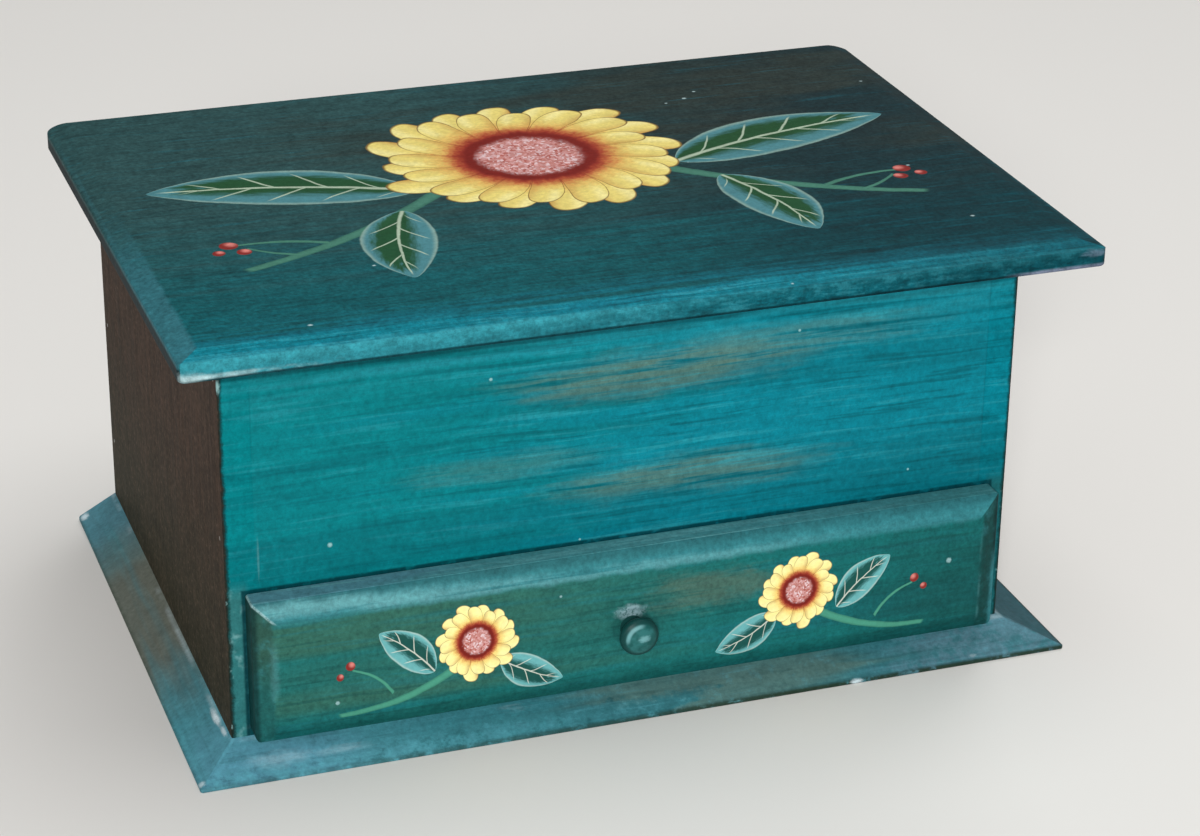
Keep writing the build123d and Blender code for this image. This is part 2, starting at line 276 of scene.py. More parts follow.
def makePaintedFlower():
    # two rings of petals about a heart: with turn the angle counted in petals and side the turn
    # less the nearest whole one, a petal is (2.04 |side|) ^ 2.4 + along ^ 3.2 < 1, where along runs
    # from 0 at the heart to 1 at the petal's tip
    tree, start, end = makeGroup(
        "paintedFlower",
        {"Offset": "Vector", "Petals": "Float", "Swirl": "Float", "Heart": "Float", "Speckle": "Float",
         "MiddleColour": "Color", "TipColour": "Color"},
        {"Colour": "Color", "Mask": "Float"},
    )
    offset = start["Offset"]
    x, y = axes(offset)[:2]
    far = calcVector("LENGTH", offset)
    angle = plus(calc("ARCTAN2", y, x), times(start["Swirl"], far))
    perTurn = calc("DIVIDE", start["Petals"], 2 * math.pi)
    streaks = noise(stretched(offset, (9.0, 9.0, 9.0)), 1.0, 3.0, 0.6)
    cloud = ramp(streaks, 0.24, -0.12)
    hair = ramp(noise(stretched(offset, (34.0, 34.0, 34.0))), 0.3, -0.15)

    def ring(phase, reach, deep):
        turn = plus(times(angle, perTurn), phase)
        index = calc("ROUND", turn)
        side = minus(turn, index)
        chance = put(tree, "ShaderNodeTexWhiteNoise", noise_dimensions="1D")
        draw = plus(calc("WRAP", index, start["Petals"], 0.0), phase * 17)
        feed(chance.inputs["W"], draw)
        tip = times(reach, ramp(chance.outputs[0], 0.13, 0.9))
        span = minus(tip, start["Heart"])
        along = calc("DIVIDE", minus(far, start["Heart"]), span)
        wide = calc("POWER", times(size(side), 2.04), 2.4)
        shape = plus(wide, calc("POWER", larger(along, 0.0), 3.2))
        blend = plus(along, plus(hair, cloud))
        colour = mixColour(fade(blend, 0.0, 0.2), flowerColours["root"], flowerColours["throat"])
        colour = lay(colour, start["MiddleColour"], fade(blend, 0.1, 0.36))
        colour = lay(colour, start["TipColour"], fade(blend, 0.26, 0.62))
        outer = fade(blend, 0.4, 0.7)
        lit = times(fade(side, -0.05, 0.2), fade(side, 0.42, 0.2), outer)
        colour = lay(colour, flowerColours["light"], lit, 0.55)
        shaded = times(fade(side, -0.1, -0.46), fade(blend, 0.1, 0.5))
        colour = lay(colour, flowerColours["shade"], shaded, deep)
        colour = lay(colour, flowerColours["outline"], fade(shape, 0.86, 0.95), 0.85)
        return fade(shape, 1.0, 0.95), colour

    backMask, backPetals = ring(0.5, 1.0, 0.75)
    frontMask, frontPetals = ring(0.0, 0.88, 0.45)
    colour = lay(backPetals, frontPetals, frontMask)
    inHeart = plus(calc("DIVIDE", far, start["Heart"]), cloud)
    colour = lay(colour, flowerColours["glow"], fade(inHeart, 1.42, 1.02), 0.7)
    pick = cells(offset, start["Speckle"])[1]
    speckled = mixColour(fade(pick[0], 0.2, 0.8), flowerColours["heart"], flowerColours["heartLight"])
    speckled = lay(speckled, flowerColours["heartPale"], calc("GREATER_THAN", pick[1], 0.78))
    speckled = lay(speckled, flowerColours["heartDark"], calc("LESS_THAN", pick[2], 0.12))
    heart = lay(speckled, flowerColours["heartRim"], fade(inHeart, 0.7, 0.9))
    inside = fade(inHeart, 1.1, 0.98)
    feed(end["Colour"], lay(colour, heart, inside))
    feed(end["Mask"], larger(inside, larger(backMask, frontMask)))
    return tree


def makePaintedLeaf():
    # a leaf along u from 0 to 1: |v - 4 bend u (1 - u)| < 2.9 width u ^ 0.7 (1 - u) ^ 0.85, with a
    # pale rim, a line along its edge, a spine, and ribs that lean towards the tip
    tree, start, end = makeGroup(
        "paintedLeaf",
        {"Offset": "Vector", "Width": "Float", "Bend": "Float", "Pairs": "Float",
         "RimColour": "Color", "InsideColour": "Color", "VeinColour": "Color"},
        {"Colour": "Color", "Mask": "Float"},
    )
    run, v = axes(start["Offset"])[:2]
    u = calc("MINIMUM", larger(run, 0.0), 1.0)
    rest = opposite(u)
    off = minus(v, times(start["Bend"], 4.0, u, rest))
    blunt = calc("POWER", u, 0.7)
    wide = times(start["Width"], 2.9, blunt, calc("POWER", rest, 0.85))
    share = calc("DIVIDE", off, larger(wide, 0.0015))
    aside = size(share)
    mask = times(fade(aside, 1.0, 0.93), fade(run, 0.0, 0.006), fade(run, 1.0, 0.99))
    drawn = stretched(start["Offset"], (9.0, 42.0, 9.0))
    brushed = ramp(noise(drawn, 1.0, 3.0, 0.6), 0.5, -0.25)
    uneven = plus(share, brushed)
    edges = larger(fade(uneven, -0.18, -0.62), fade(uneven, 0.5, 0.82))
    rim = larger(edges, fade(plus(u, brushed), 0.78, 0.98))
    colour = mixColour(rim, start["InsideColour"], start["RimColour"])
    colour = lay(colour, start["VeinColour"], fade(aside, 0.8, 0.98), 0.45)
    lean = times(calc("POWER", aside, 0.8), 0.9)
    step = minus(times(u, start["Pairs"]), lean)
    step = plus(step, times(calc("GREATER_THAN", share, 0.0), 0.4))
    near = size(minus(step, calc("ROUND", step)))
    ribs = fade(near, ramp(aside, -0.035, 0.062), 0.012)
    ribs = times(ribs, fade(aside, 0.84, 0.6), fade(u, 0.9, 0.8), fade(u, 0.05, 0.12))
    spine = fade(size(off), ramp(u, -0.013, 0.018), 0.004)
    veins = larger(ribs, times(spine, fade(u, 0.97, 0.9)))
    feed(end["Colour"], lay(colour, start["VeinColour"], veins, 0.85))
    feed(end["Mask"], mask)
    return tree


bristleMarks = makeBristleMarks()
panelInset = makePanelInset()
brokenLine = makeBrokenLine()
paleSpecks = makePaleSpecks()
plankGrain = makePlankGrain()
paintedFlower = makePaintedFlower()
paintedLeaf = makePaintedLeaf()
print("brush marks, grain and motifs done")


def newMaterial(name, roughness, specular):
    material = bpy.data.materials.new(name)
    material.use_nodes = True
    tree = material.node_tree
    tree.nodes.clear()
    shader = put(tree, "ShaderNodeBsdfPrincipled")
    shader.inputs["Roughness"].default_value = roughness
    shader.inputs["Specular IOR Level"].default_value = specular
    feed(put(tree, "ShaderNodeOutputMaterial").inputs[0], shader.outputs[0])
    return material, shader, put(tree, "ShaderNodeTexCoord").outputs["Object"]


def roughen(shader, height, depth, strength):
    bump = put(shader.id_data, "ShaderNodeBump")
    feed(shader.inputs["Normal"], feedAll(bump, Height=height, Distance=depth, Strength=strength)[0])


def finishCoat(shader, colour, strokes, smoothest, height, depth):
    # the last of each paint: its colour, a roughness that follows the strokes, and a faint relief
    feed(shader.inputs["Base Color"], colour)
    feed(shader.inputs["Roughness"], ramp(strokes, 0.2, smoothest))
    roughen(shader, height, depth, 0.6)


def patch(place, middle, reach, ragged=0.5, seed=0.0):
    # a soft-edged blot: the distance from its middle, counted in its reach along each axis and
    # torn by noise, is below about 1
    far = calcVector("LENGTH", calcVector("DIVIDE", calcVector("SUBTRACT", place, middle), reach))
    drawn = calcVector("ADD", calcVector("DIVIDE", place, reach), (seed, seed, seed))
    torn = noise(drawn, 2.2, 4.0, 0.65)
    return fade(plus(far, swing(torn, ragged * 2)), 1.05, 0.35)


def addBlots(colour, place, over, blots, ragged):
    for middle, reach, share in blots:
        colour = lay(colour, over, patch(place, middle, reach, ragged), share)
    return colour


def addStrokes(colour, finish, marks, strokes):
    # coats that show where a kind of mark runs from one value to another, each by its own share
    for kind, start, end, share, over in strokes:
        colour = lay(colour, finish[over], fade(marks[kind], start, end), share)
    return colour


def onPlan(place, middle, turn, length):  # a motif's own plane: u along it, v across it
    node = put(treeOf(place), "ShaderNodeMapping", vector_type="TEXTURE")
    spot = (middle[0] * mm, middle[1] * mm, 0.0)
    return feedAll(node, place, spot, (0.0, 0.0, math.radians(turn)), (length * mm,) * 3)[0]


def handPlane(place, across, up, wobble, mirrored):
    # the plane of a design, shaken a little as by a hand: (across - middle, up, 0), or with the
    # size of its first part alone, which draws both halves of the design at once
    across = minus(across, boxMiddle)
    across = size(across) if mirrored else across
    plane = feedAll(put(treeOf(place), "ShaderNodeCombineXYZ"), across, up)[0]
    shake = enlarged(waver(place, 0.12 / wobble), wobble)
    return stretched(calcVector("ADD", plane, shake), (1.0, 1.0, 0.0))


berryColours = dict(
    shade=paint(132, 44, 40),
    light=paint(214, 128, 120),
)


def addSprigs(colour, plane, flowerPlane, design):
    # stems first, then leaves, berries and last the flower, each over the one before; a stem is
    # |v - 4 bend u (1 - u)| < (1 - 0.4 u) thick / length
    painted = 0.0
    for middle, turn, length, thick, bend in design["stems"]:
        u, v = axes(onPlan(plane, middle, turn, length))[:2]
        off = size(minus(v, times(4 * bend, u, opposite(u))))
        taper = ramp(u, -0.4 * thick / length, thick / length)
        far = calc("DIVIDE", off, taper)
        mask = times(fade(far, 1.0, 0.82), fade(u, -0.01, 0.01), fade(u, 1.01, 0.98))
        stem = lay(design["stem"], design["stemDark"], fade(far, 0.3, 0.95), 0.6)
        colour = lay(colour, stem, mask, 0.92)
        painted = larger(painted, mask)
    leafColours = design["rim"], design["inside"], design["vein"]
    for middle, turn, length, width, bend, pairs in design["leaves"]:
        offset = onPlan(plane, middle, turn, length)
        leaf = useGroup(paintedLeaf, offset, width, bend, pairs, *leafColours)
        colour = lay(colour, leaf[0], leaf[1], 0.9)
        painted = larger(painted, leaf[1])
    for middle, radius in design["berries"]:
        offset = onPlan(plane, middle, 0.0, radius)
        lit = fade(calcVector("DISTANCE", offset, (-0.3, 0.35, 0.0)), 0.9, 0.1)
        berry = mixColour(lit, berryColours["shade"], berryColours["light"])
        mask = fade(calcVector("LENGTH", offset), 1.0, 0.86)
        colour = lay(colour, berry, mask)
        painted = larger(painted, mask)
    middle, reach, *shape = design["flower"]
    offset = onPlan(flowerPlane, middle, design["flowerTurn"], reach)
    flower = useGroup(paintedFlower, offset, *shape, design["petal"], design["petalTip"])
    colour = lay(colour, flower[0], flower[1])
    return colour, larger(painted, flower[1])


# Camera, floor and light

view = dict(
    place=(-0.3227, -0.9599, 0.5331),
    turn=-19.49,
    tilt=-24.82,
    roll=0.63,
    lens=95.77,
    sensor=36.0,
)


def makeCamera():
    # level and facing north it is turned, then tilted, then rolled, all in degrees
    camera = bpy.data.objects.new("camera", bpy.data.cameras.new("camera"))
    camera.data.lens = view["lens"]
    camera.data.sensor_width = view["sensor"]
    camera.data.sensor_fit = "HORIZONTAL"
    camera.data.clip_start = 0.05
    turned = (
        Matrix.Rotation(math.radians(view["turn"]), 4, "Z")
        @ Matrix.Rotation(math.radians(90 + view["tilt"]), 4, "X")
        @ Matrix.Rotation(math.radians(view["roll"]), 4, "Z")
    )
    camera.matrix_world = Matrix.Translation(view["place"]) @ turned
    bpy.context.scene.collection.objects.link(camera)
    bpy.context.scene.camera = camera


studio = dict(
    floorReach=8.0,
    floorColour=paint(232, 230, 226),
    skyStrength=0.28,
    aim=(0.0, 0.0, 0.07),
    keyPlace=(-1.25, -3.05, 1.5),
    keySize=0.8,
    keyPower=98.0,
    topPlace=(0.3, -0.1, 1.9),
    topSize=1.6,
    topPower=13.0,
    backPlace=(1.9, 2.3, 2.7),
    backSize=2.0,
    backPower=26.0,
)


def makeStudio():
    reach = studio["floorReach"]
    corners = [(-reach, -reach, 0), (reach, -reach, 0), (reach, reach, 0), (-reach, reach, 0)]
    mesh = bpy.data.meshes.new("floor")
    mesh.from_pydata(corners, [], [(0, 1, 2, 3)])
    floor = bpy.data.objects.new("floor", mesh)
    bpy.context.scene.collection.objects.link(floor)
    material, shader = newMaterial("floorPaper", 0.9, 0.1)[:2]
    shader.inputs["Base Color"].default_value = studio["floorColour"]
    mesh.materials.append(material)
    for name in ("key", "top", "back"):
        light = bpy.data.objects.new(name + "Light", bpy.data.lights.new(name + "Light", "AREA"))
        light.data.shape = "DISK"
        light.data.size = studio[name + "Size"]
        light.data.energy = studio[name + "Power"]
        light.location = studio[name + "Place"]
        aim = Vector(studio["aim"]) - light.location
        light.rotation_euler = aim.to_track_quat("-Z", "Y").to_euler()
        bpy.context.scene.collection.objects.link(light)
    world = bpy.data.worlds.new("studio")
    world.use_nodes = True
    sky = world.node_tree.nodes["Background"]
    sky.inputs["Color"].default_value = (1.0, 1.0, 1.0, 1.0)
    sky.inputs["Strength"].default_value = studio["skyStrength"]
    bpy.context.scene.world = world
    bpy.context.scene.view_settings.view_transform = "Standard"


# Places that the finishes share, all read from the pieces of model.glb

lidLow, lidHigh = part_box("lid_board")
frontLow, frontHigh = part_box("front_board")
leftLow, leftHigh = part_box("left_side_board")
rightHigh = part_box("right_side_board")[1]
drawerLow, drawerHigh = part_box("drawer_front")
baseLow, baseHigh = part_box("base_board")
knobLow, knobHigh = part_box("drawer_knob")
boxMiddle = (lidLow.x + lidHigh.x) / 2
beyond = 10.0


def fromEnds(x, low, high):  # how far inside the nearer end of a piece
    middle = (low.x + high.x) / 2
    return minus((high.x - low.x) / 2, size(plus(x, -middle)))


def insideCase(place):  # how far inside the outer faces of the four boards
    low = (leftLow.x, leftLow.y, -beyond)
    return useGroup(panelInset, place, low, (rightHigh.x, leftHigh.y, beyond))[0]


woodFinish = dict(
    early=paint(178, 142, 96),
    late=paint(150, 112, 68),
    pore=paint(112, 80, 46),
    alongX=(2.0, 60.0, 60.0),
    alongY=(60.0, 2.0, 60.0),
    rings=4.4,
)
wood = SimpleNamespace(**woodFinish)


def bareWood(place, stretch):  # pine: rings between two browns, and dark pores
    grain = useGroup(plankGrain, place, stretch, wood.rings)
    colour = lay(wood.early, wood.late, grain["Rings"], 0.75)
    return lay(colour, wood.pore, fade(grain["Pores"], 0.52, 0.34), 0.4)


lidFinish = dict(
    slate=paint(44, 76, 77),
    dusk=paint(24, 46, 50),
    teal=paint(16, 86, 92),
    deepTeal=paint(6, 54, 61),
    umber=paint(46, 54, 49),
    bright=paint(14, 112, 130),
    bevelBright=paint(10, 112, 127),
    pale=paint(56, 148, 160),
    scuffed=paint(52, 106, 116),
    rim=paint(10, 82, 93),
    endRim=paint(20, 34, 37),
    mottle=paint(42, 118, 130),
    dark=paint(6, 36, 42),
    # line: the colour of the painted shadow along the rim's foot
    line=paint(3, 20, 24),
    worn=paint(178, 202, 204),
    mauve=paint(120, 128, 150),
    underside=paint(52, 46, 38),
    bevel=7.5 * mm,
    stretch=(30.0, 700.0, 700.0),
    endStretch=(700.0, 30.0, 700.0),
    strokes=(("Fine", 0.5, 0.34, 0.32, "dark"), ("Fine", 0.56, 0.72, 0.2, "bright")),
    bevelStrokes=(("Fine", 0.5, 0.66, 0.5, "pale"), ("Fine", 0.46, 0.34, 0.5, "deepTeal")),
    rimBlots=(("Sponged", 0.5, 0.62, 0.6, "mottle"), ("Sponged", 0.48, 0.36, 0.65, "dark")),
    glint=((145 * mm, lidLow.y, 152.3 * mm), (6 * mm, 3 * mm, 1.6 * mm)),
    shine=((-152.5 * mm, lidLow.y, 148.8 * mm), (9 * mm, 3 * mm, 2.6 * mm)),
    specks=(
        ((137.6, 58.5), 0.8), ((117.6, -27.9), 0.9), ((118.2, -78.1), 1.0), ((40.8, -111.4), 0.7),
        ((-111.0, -100.0), 1.0), ((-80.0, -60.0), 0.8), ((69.0, 60.0), 1.1), ((75.0, 66.0), 0.8),
        ((61.0, 57.0), 0.7),
    ),
)
lid = SimpleNamespace(**lidFinish)

# in mm and degrees: stems: where, turn, length, thickness, bend; leaves: where, turn, length, width
# as a share of it, bend, pairs of ribs; berries: where, radius; flower: where, radius, petals,
# swirl, heart as a share of the radius, speckles
lidDesign = dict(
    flower=((0.0, 20), 56, 16.0, 0.35, 0.4, 62.0),
    flowerTurn=4.0,
    stems=(
        ((36, 0.0), -33.0, 96, 3.1, -0.06),
        ((86, -37), 12.0, 30, 1.3, 0.08),
        ((97, -44), 34.0, 18, 1.0, -0.06),
    ),
    leaves=(
        ((46, 0.0), 15.0, 90, 0.185, 0.05, 5.0),
        ((56, -17), -78.0, 58, 0.22, 0.05, 4.0),
    ),
    berries=(
        ((117, -30), 3.3), ((113.5, -36.5), 2.6), ((121.5, -35.5), 2.3),
    ),
    petal=paint(218, 178, 98),
    petalTip=paint(226, 208, 120),
    stem=paint(72, 126, 108),
    stemDark=paint(44, 92, 80),
    rim=paint(78, 134, 142),
    inside=paint(34, 78, 44),
    vein=paint(186, 204, 180),
)


def lidGuides(place):
    # what the lid's coats share: the brush marks, how far a point lies inside the edges, and
    # whether it belongs to the front edge or to an end
    at = SimpleNamespace(place=place)
    at.x, at.y, at.z = axes(place)
    at.marks = useGroup(bristleMarks, place, lid.stretch, 3.0)
    at.endMarks = useGroup(bristleMarks, place, lid.endStretch, 8.0)
    low = (lidLow.x, lidLow.y, -beyond)
    at.inset = useGroup(panelInset, place, low, (lidHigh.x, beyond, beyond))[0]
    drift = swing(at.marks["Middle"], 60 * mm)
    at.depth = plus(at.y, drift)
    at.across = plus(at.x, times(drift, 2.0))
    toFront = minus(minus(at.y, lidLow.y), fromEnds(at.x, lidLow, lidHigh))
    at.toFront = between(toFront, 0.3, -0.3)
    at.toEnds = opposite(at.toFront)
    return at


def makeLidFace(at):
    # darker to the back and the right, with umber blots behind and bright strokes in front
    rightward = between(at.across, -50, 110)
    behind = mixColour(rightward, lid.slate, lid.dusk)
    before = mixColour(rightward, lid.teal, lid.deepTeal)
    colour = mixColour(between(at.depth, 20, -95), behind, before)
    blots = noise(stretched(at.place, (9.0, 24.0, 24.0)), 1.0, 3.0, 0.6)
    blots = times(fade(blots, 0.42, 0.6), between(at.depth, -70, 40))
    offLeft = between(at.across, -120, -20)
    colour = lay(colour, lid.umber, blots, offLeft, 0.75)
    forward = between(minus(at.depth, lidLow.y), 26, 8)
    leftward = ramp(between(at.across, 130, 40), 0.55, 0.3)
    streaky = fade(at.marks["Middle"], 0.36, 0.6)
    colour = lay(colour, lid.bright, forward, streaky, leftward)
    return addStrokes(colour, lidFinish, at.marks, lid.strokes)


def addLidBevels(colour, at):
    # bright strokes on the front bevel; the end bevels are paler towards the front and the left,
    # with a broken painted highlight along their top arris
    bevel = lid.bevel
    onFront = times(fade(at.inset, bevel + 0.7 * mm, bevel - 1.5 * mm), at.toFront)
    streaky = fade(at.marks["Middle"], 0.3, 0.52)
    strokes = mixColour(streaky, lid.bright, lid.bevelBright)
    strokes = addStrokes(strokes, lidFinish, at.marks, lid.bevelStrokes)
    strokes = lay(strokes, lid.deepTeal, between(at.across, 40, 130), 0.55)
    colour = lay(colour, strokes, onFront, 0.92)
    nearFront = between(plus(at.y, swing(at.endMarks["Cloud"], 90 * mm)), 15, -60)
    softEdge = ramp(at.endMarks["Cloud"], 1.6 * mm, bevel)
    onEnds = fade(at.inset, softEdge, minus(softEdge, 2 * mm))
    leftward = between(at.x, 100, -100)
    colour = lay(colour, lid.scuffed, onEnds, nearFront, at.toEnds, leftward, 0.8)
    # a painted highlight: a thin broken pale line along the top arris of the ends
    faint = between(size(minus(at.inset, 1.3 * mm)), 1.1, 0.2)
    unbroken = fade(at.endMarks["Middle"], 0.42, 0.62)
    return lay(colour, lid.scuffed, faint, unbroken, at.toEnds, 0.25)


def addLidRim(colour, at):
    # the rim: painted shade darkens the ends below their top, and in front a painted shadow line
    # runs along its foot; in front it is mottled, with painted highlights on its upper part, along
    # its top arris and at both corners, wear at the left corner and a worn line along the right foot
    def aboveFoot(start, end):
        return fade(at.z, lidLow.z + start * mm, lidLow.z + end * mm)

    onRim = between(at.inset, 1.0, 0.5)
    sponged = noise(stretched(at.place, (120.0, 120.0, 420.0)), 1.0, 4.0, 0.7)
    rim = addStrokes(lid.rim, lidFinish, {"Sponged": sponged}, lid.rimBlots)
    leftHalf = between(at.across, 25, -45)
    # a painted highlight on the rim's upper part, strongest at the left
    rim = lay(rim, lid.pale, aboveFoot(2.2, 5.0), ramp(leftHalf, 0.3, 0.06))
    rim = lay(rim, lid.dark, between(at.across, 40, 120), 0.5)
    rim = lay(rim, lid.pale, between(at.across, 50, -120), 0.5)
    # a painted shadow: a dark line along the foot of the front rim, under the lid's edge
    rim = lay(rim, lid.line, aboveFoot(1.4, 0.8), 0.8)
    # painted shade: at the ends the rim is dark below its top
    endRim = mixColour(aboveFoot(3.8, 5.2), lid.endRim, colour)
    rim = mixColour(at.toFront, endRim, rim)
    colour = lay(colour, rim, onRim, 0.95)
    # a painted highlight in a broken line along the front rim's top arris
    topArris = useGroup(brokenLine, minus(at.inset, 0.8 * mm), 1.7 * mm, at.place, 0.3)[0]
    topArris = times(topArris, at.toFront, aboveFoot(4.4, 5.4))
    colour = lay(colour, lid.pale, topArris, ramp(leftHalf, 0.36, 0.14))
    # at the front left corner the foot is pale, partly wear and partly a painted highlight
    raggedX = plus(at.x, swing(sponged, 70 * mm))
    corner = times(aboveFoot(2.8, 1.8), onRim, at.toFront)
    corner = times(corner, aboveFoot(0.5, 1.2), between(raggedX, -110, -150))
    colour = lay(colour, lid.worn, corner, 0.55)
    rightFoot = times(aboveFoot(1.9, 0.9), onRim, at.toFront, between(at.x, 112, 126))
    colour = lay(colour, lid.mauve, rightFoot, fade(sponged, 0.36, 0.52), 0.7)
    # a painted glint at the front right corner
    glint = patch(at.place, *lid.glint, 0.6)
    colour = lay(colour, lid.mauve, glint, fade(sponged, 0.36, 0.6), 0.4)
    # a painted highlight at the front left corner, in the pale colour of the wear
    shine = patch(at.place, *lid.shine, 0.5, 3.0)
    return lay(colour, lid.worn, shine, 0.36)


def makeLidPaint():
    material, shader, place = newMaterial("lidPaint", 0.5, 0.03)
    at = lidGuides(place)
    colour = makeLidFace(at)
    plane = handPlane(place, at.x, at.y, 1.2 * mm, True)
    flowerPlane = handPlane(place, at.x, at.y, 1.2 * mm, False)
    colour, painted = addSprigs(colour, plane, flowerPlane, lidDesign)
    colour = addLidBevels(colour, at)
    colour = addLidRim(colour, at)
    specks = [
        ((x * mm, y * mm, lidHigh.z), (reach * mm, reach * 0.8 * mm, 3 * mm), 0.75)
        for (x, y), reach in lid.specks
    ]
    colour = addBlots(colour, place, lid.worn, specks, 0.5)
    dots = useGroup(paleSpecks, place, 85.0, 0.03, 0.03)[0]
    colour = lay(colour, lid.worn, dots, 0.45)
    plain = opposite(times(painted, 0.6))
    for kind, amount in (("Grain", 0.8), ("Cloud", 0.45)):
        colour = vary(colour, ramp(minus(at.marks[kind], 0.5), plain, 0.5), amount)
    under = fade(at.z, lidLow.z + 0.12 * mm, lidLow.z + 0.02 * mm)
    colour = lay(colour, lid.underside, under)
    height = plus(at.marks["Fine"], times(painted, 0.6))
    finishCoat(shader, colour, at.marks["Fine"], 0.42, height, 0.1 * mm)
    return material


frontFinish = dict(
    teal=paint(3, 118, 124),
    bright=paint(4, 121, 137),
    deep=paint(2, 82, 91),
    pale=paint(44, 148, 160),
    ground=paint(84, 114, 102),
    aged=paint(54, 114, 114),
    agedDark=paint(30, 92, 94),
    seam=paint(2, 48, 55),
    brown=paint(69, 53, 43),
    dark=paint(59, 46, 37),
    olive=paint(54, 54, 42),
    grit=paint(100, 84, 70),
    arris=paint(14, 38, 36),
    worn=paint(150, 196, 196),
    stretch=(20.0, 540.0, 540.0),
    sideStretch=(500.0, 500.0, 18.0),
    scratch=((-126.6 * mm, frontLow.y, 72 * mm), (0.45 * mm, 1.0, 9 * mm)),
    chip=((leftLow.x, frontLow.y, 132.5 * mm), (1.2 * mm, 1.2 * mm, 3 * mm)),
    bare=(
        ((6, 118), (62, 10), 0.9, 1.0),
        ((16, 80), (54, 9), 0.75, 4.0),
        ((58, 124), (56, 7), 0.5, 7.0),
        ((-46, 92), (40, 6), 0.3, 12.0),
    ),
    dots=(
        ((-103.4, 73.2), 1.0), ((-50.0, 123.0), 0.7), ((54.7, 126.0), 0.6),
        ((-20.0, 62.0), 0.5), ((96.0, 70.0), 0.5),
    ),
)
front = SimpleNamespace(**frontFinish)


def faceDots(dots, face, share):  # round dots on an upright face, from their places in mm
    return [((x * mm, face, z * mm), (reach * mm, 1.0, reach * mm), share) for (x, z), reach in dots]


def frontColour(place):
    # the teal of the whole face, over the front board and both side edges: strokes along it, the
    # ground showing through in patches, painted light along the top with a painted shadow line just
    # under the lid, and a broken painted shadow line where the drawer front meets the case
    x, _, z = axes(place)
    marks = useGroup(bristleMarks, place, front.stretch, 11.0)
    rightward = between(plus(x, swing(marks["Middle"], 220 * mm)), -90, 40)
    colour = mixColour(rightward, front.teal, front.bright)
    colour = lay(colour, front.deep, fade(marks["Middle"], 0.5, 0.34), 0.3)
    thin = fade(marks["Fine"], 0.3, 0.56)
    for middle, reach, share, seed in front.bare:
        spot = (middle[0] * mm, frontLow.y, middle[1] * mm)
        bare = patch(place, spot, (reach[0] * mm, 1.0, reach[1] * mm), 0.6, seed)
        colour = lay(colour, front.ground, bare, thin, share)
    streaky = ramp(fade(x, -110 * mm, 0.0), 0.45, 0.6)
    colour = lay(colour, front.deep, fade(marks["Fine"], 0.48, 0.34), streaky, 0.6)
    colour = lay(colour, front.pale, fade(marks["Fine"], 0.54, 0.7), streaky, 0.5)
    colour = lay(colour, front.deep, fade(marks["Broad"], 0.5, 0.4), 0.3)
    colour = lay(colour, front.deep, between(x, 30, 110), between(z, 100, 64), 0.3)
    # painted light: the top of the face is paler just under the lid
    upper = between(z, 118, 133)
    colour = lay(colour, front.pale, upper, fade(marks["Middle"], 0.4, 0.6), 0.35)
    # a painted shadow: a dark line just under the lid's edge, at the left and middle
    shadowUnderLid = times(between(z, 133.2, 134.3), between(x, 60, 10))
    colour = lay(colour, front.seam, shadowUnderLid, 0.5)

    # beside the drawer's ends the paint is aged, paler at the left
    fromMiddle = size(plus(x, -boxMiddle))
    beside = times(between(fromMiddle, 127, 129.5), between(z, 66, 58))
    aged = mixColour(between(x, -10, 10), front.aged, front.agedDark)
    aged = lay(aged, front.worn, fade(marks["Cloud"], 0.52, 0.66), between(x, 10, -10), 0.4)
    colour = lay(colour, aged, beside, 0.8)
    joint = minus(fromMiddle, (frontHigh.x - frontLow.x) / 2)
    colour = lay(colour, front.seam, useGroup(brokenLine, joint, 0.5 * mm, place, 0.4)[0], 0.2)
    colour = lay(colour, front.worn, patch(place, *front.scratch, 0.5), 0.12)
    # a painted shadow: a broken dark line on the case round the drawer front's ends and top
    low, high = (drawerLow.x, -beyond, -beyond), (drawerHigh.x, beyond, drawerHigh.z)
    lapped = useGroup(panelInset, place, low, high)[0]
    grime = times(between(lapped, -1.5, -0.6), fade(marks["Cloud"], 0.24, 0.5))
    colour = lay(colour, front.seam, grime, 0.88)
    colour = addBlots(colour, place, front.worn, faceDots(front.dots, frontLow.y, 0.8), 0.3)
    return vary(vary(colour, marks["Grain"], 0.5), marks["Cloud"], 0.2), marks


def makeFrontPaint():
    material, shader, place = newMaterial("frontPaint", 0.5, 0.06)
    colour, marks = frontColour(place)
    inside = fade(axes(place)[1], frontHigh.y - 0.6 * mm, frontHigh.y - 0.2 * mm)
    colour = lay(colour, bareWood(place, wood.alongX), inside)
    finishCoat(shader, colour, marks["Fine"], 0.42, marks["Fine"], 0.1 * mm)
    return material


def makeSideBrown(place, z, upright):
    # umber brushed upright, more olive and darker towards its foot, with grit and a few specks
    brown = front.brown
    brown = mixColour(fade(upright["Middle"], 0.36, 0.66), front.dark, brown)
    brown = lay(brown, front.dark, fade(upright["Fine"], 0.5, 0.32), 0.2)
    low = between(plus(z, swing(upright["Cloud"], 60 * mm)), 110, 10)
    brown = lay(brown, front.olive, low, 0.8)
    brown = lay(brown, front.grit, fade(upright["Grain"], 0.56, 0.74), 0.4)
    specks = useGroup(paleSpecks, place, 90.0, 0.04, 0.035)[0]
    brown = lay(brown, front.worn, specks, 0.4)
    return vary(vary(brown, upright["Grain"], 1.1), upright["Cloud"], 0.5)


